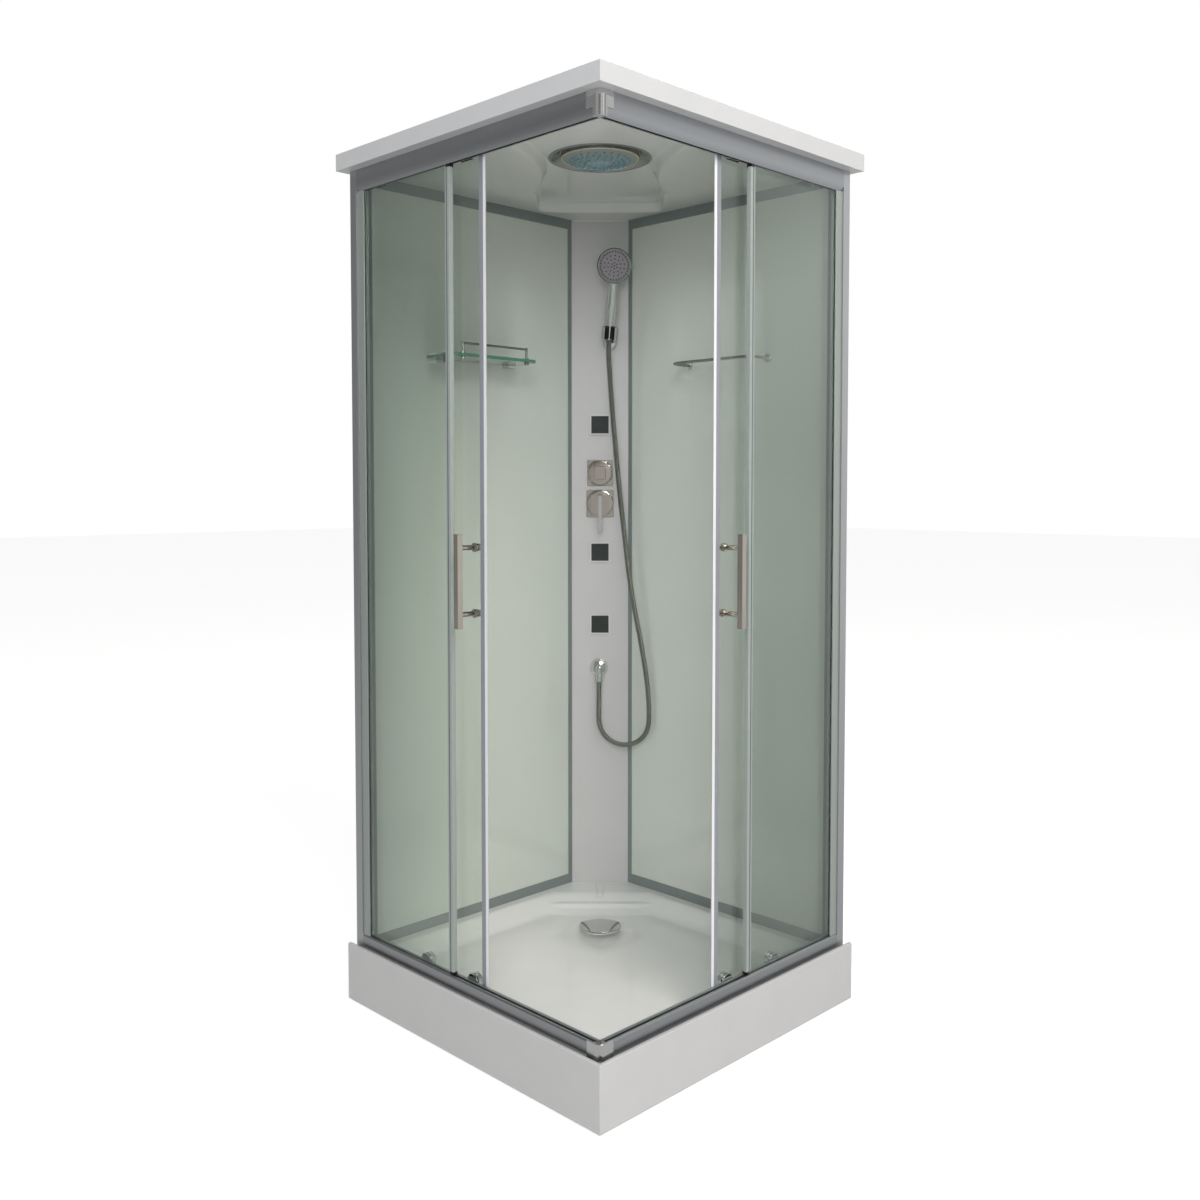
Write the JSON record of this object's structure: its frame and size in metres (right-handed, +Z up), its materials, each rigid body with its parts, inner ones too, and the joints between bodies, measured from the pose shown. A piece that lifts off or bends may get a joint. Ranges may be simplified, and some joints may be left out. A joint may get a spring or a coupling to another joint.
{
  "type": "shower cabin",
  "caption": "Square corner-entry shower cabin with sliding glass doors, low tray, roof with overhead shower, and a column with mixer, body jets and hand shower.",
  "frame": {"origin": "on the floor, under the middle of the 900 mm square tray", "axes": "+Z up; the two glazed sides face -Y and +X and meet at the front corner; the back panels stand at -X and +Y, with the column across their corner"},
  "size_m": [0.92, 0.92, 2.15],
  "materials": {
    "white_acrylic": "smooth gloss",
    "galvanised_steel": "zinc plated",
    "satin_aluminium": "satin anodised",
    "chrome": "polished",
    "clear_glass": "clear toughened glass",
    "painted_glass": "glass painted on its back",
    "grey_seal": "soft translucent grey",
    "black_rubber": "matt black",
    "silver_plastic": "silver lacquer",
    "dark_plastic": "dark grey with a light rim",
    "grey_plastic": "warm grey",
    "white_plastic": "plain white",
    "brass": "plain brass",
    "steel_hose": "ribbed steel"
  },
  "bodies": {
    "cabin": {"shower_tray": "white_acrylic", "tray_apron": "white_acrylic", "tray_frame": "galvanised_steel", "tray_feet": "galvanised_steel", "waste_trap": "white_plastic", "bottom_rail_left": "satin_aluminium", "bottom_rail_right": "satin_aluminium", "top_rail_left": "satin_aluminium", "top_rail_right": "satin_aluminium", "bottom_corner_connector": "chrome", "top_corner_connector": "chrome", "wall_post_left": "satin_aluminium", "wall_post_right": "satin_aluminium", "fixed_glass_left": "clear_glass", "fixed_glass_right": "clear_glass", "fixed_glass_seals": "grey_seal", "rail_stops": "black_rubber", "back_panel_left": "painted_glass", "back_panel_right": "painted_glass", "panel_frame_left": "satin_aluminium", "panel_frame_right": "satin_aluminium", "column_panel": "satin_aluminium", "roof_cover": "white_acrylic", "ceiling_panel": "white_acrylic", "overhead_housing": "silver_plastic", "overhead_face": "silver_plastic", "body_jets": "dark_plastic", "diverter_plate": "chrome", "mixer_plate": "chrome", "mixer_valve_body": "brass", "water_pipes": "brass", "hose_outlet": "chrome", "shower_hose": "steel_hose", "hose_nuts": "chrome", "hand_shower": "chrome", "spray_face": "grey_plastic", "shower_holder": "chrome", "holder_jaws": "black_rubber", "shelf_glass": "clear_glass", "shelf_gallery": "chrome", "accessory_mounts": "chrome", "towel_bar": "chrome", "roof_screws": "galvanised_steel"},
    "door_left": {"door_glass_left": "clear_glass", "door_seals_left": "grey_seal", "door_handle_left": "chrome", "door_carriers_left": "chrome"},
    "door_right": {"door_glass_right": "clear_glass", "door_seals_right": "grey_seal", "door_handle_right": "chrome", "door_carriers_right": "chrome"},
    "front_wheel_left": {"front_wheel_left": "white_plastic"},
    "rear_wheel_left": {"rear_wheel_left": "white_plastic"},
    "front_wheel_right": {"front_wheel_right": "white_plastic"},
    "rear_wheel_right": {"rear_wheel_right": "white_plastic"},
    "diverter_knob": {"diverter_knob": "chrome"},
    "mixer_cover": {"mixer_cover": "chrome"},
    "mixer_lever": {"mixer_lever": "chrome"},
    "spray_selector": {"spray_selector": "chrome"},
    "drain_cover": {"drain_cover": "chrome"}
  },
  "joints": [
    {"name": "door_left_slide", "type": "slide", "parent": "cabin", "child": "door_left", "axis": [1, 0, 0], "range_m": [0, 0.353]},
    {"name": "door_right_slide", "type": "slide", "parent": "cabin", "child": "door_right", "axis": [0, -1, 0], "range_m": [0, 0.353]},
    {"name": "front_wheel_left_roll", "type": "hinge", "parent": "door_left", "child": "front_wheel_left", "pos_m": [-0.015, -0.4085, 2.0533], "axis": [0, 1, 0], "range_deg": [-5, 2255]},
    {"name": "front_wheel_right_roll", "type": "hinge", "parent": "door_right", "child": "front_wheel_right", "pos_m": [0.4085, 0.015, 2.0533], "axis": [1, 0, 0], "range_deg": [-5, 2255]},
    {"name": "rear_wheel_left_roll", "type": "hinge", "parent": "door_left", "child": "rear_wheel_left", "pos_m": [-0.34, -0.4085, 2.0533], "axis": [0, 1, 0], "range_deg": [-5, 2255]},
    {"name": "rear_wheel_right_roll", "type": "hinge", "parent": "door_right", "child": "rear_wheel_right", "pos_m": [0.4085, 0.34, 2.0533], "axis": [1, 0, 0], "range_deg": [-5, 2255]},
    {"name": "diverter_turn", "type": "hinge", "parent": "cabin", "child": "diverter_knob", "pos_m": [-0.33588, 0.33588, 1.335], "axis": [-0.7071, 0.7071, 0], "range_deg": [-60, 60]},
    {"name": "mixer_temperature", "type": "hinge", "parent": "cabin", "child": "mixer_cover", "pos_m": [-0.33941, 0.33941, 1.246], "axis": [-0.7071, 0.7071, 0], "range_deg": [-30, 30]},
    {"name": "mixer_flow", "type": "hinge", "parent": "mixer_cover", "child": "mixer_lever", "pos_m": [-0.32838, 0.32838, 1.269], "axis": [-0.7071, -0.7071, 0], "range_deg": [0, 20]},
    {"name": "spray_select", "type": "hinge", "parent": "cabin", "child": "spray_selector", "pos_m": [-0.26058, 0.31765, 1.91463], "axis": [0.6917, -0.6917, -0.2079], "range_deg": [-30, 30]},
    {"name": "drain_cover_lift", "type": "slide", "parent": "cabin", "child": "drain_cover", "axis": [0, 0, 1], "range_m": [0, 0.045]}
  ],
  "couplings": [
    {"joint": "front_wheel_left_roll", "follows": "door_left_slide", "rad_per_m": 111.11},
    {"joint": "front_wheel_right_roll", "follows": "door_right_slide", "rad_per_m": 111.11},
    {"joint": "rear_wheel_left_roll", "follows": "door_left_slide", "rad_per_m": 111.11},
    {"joint": "rear_wheel_right_roll", "follows": "door_right_slide", "rad_per_m": 111.11}
  ]
}
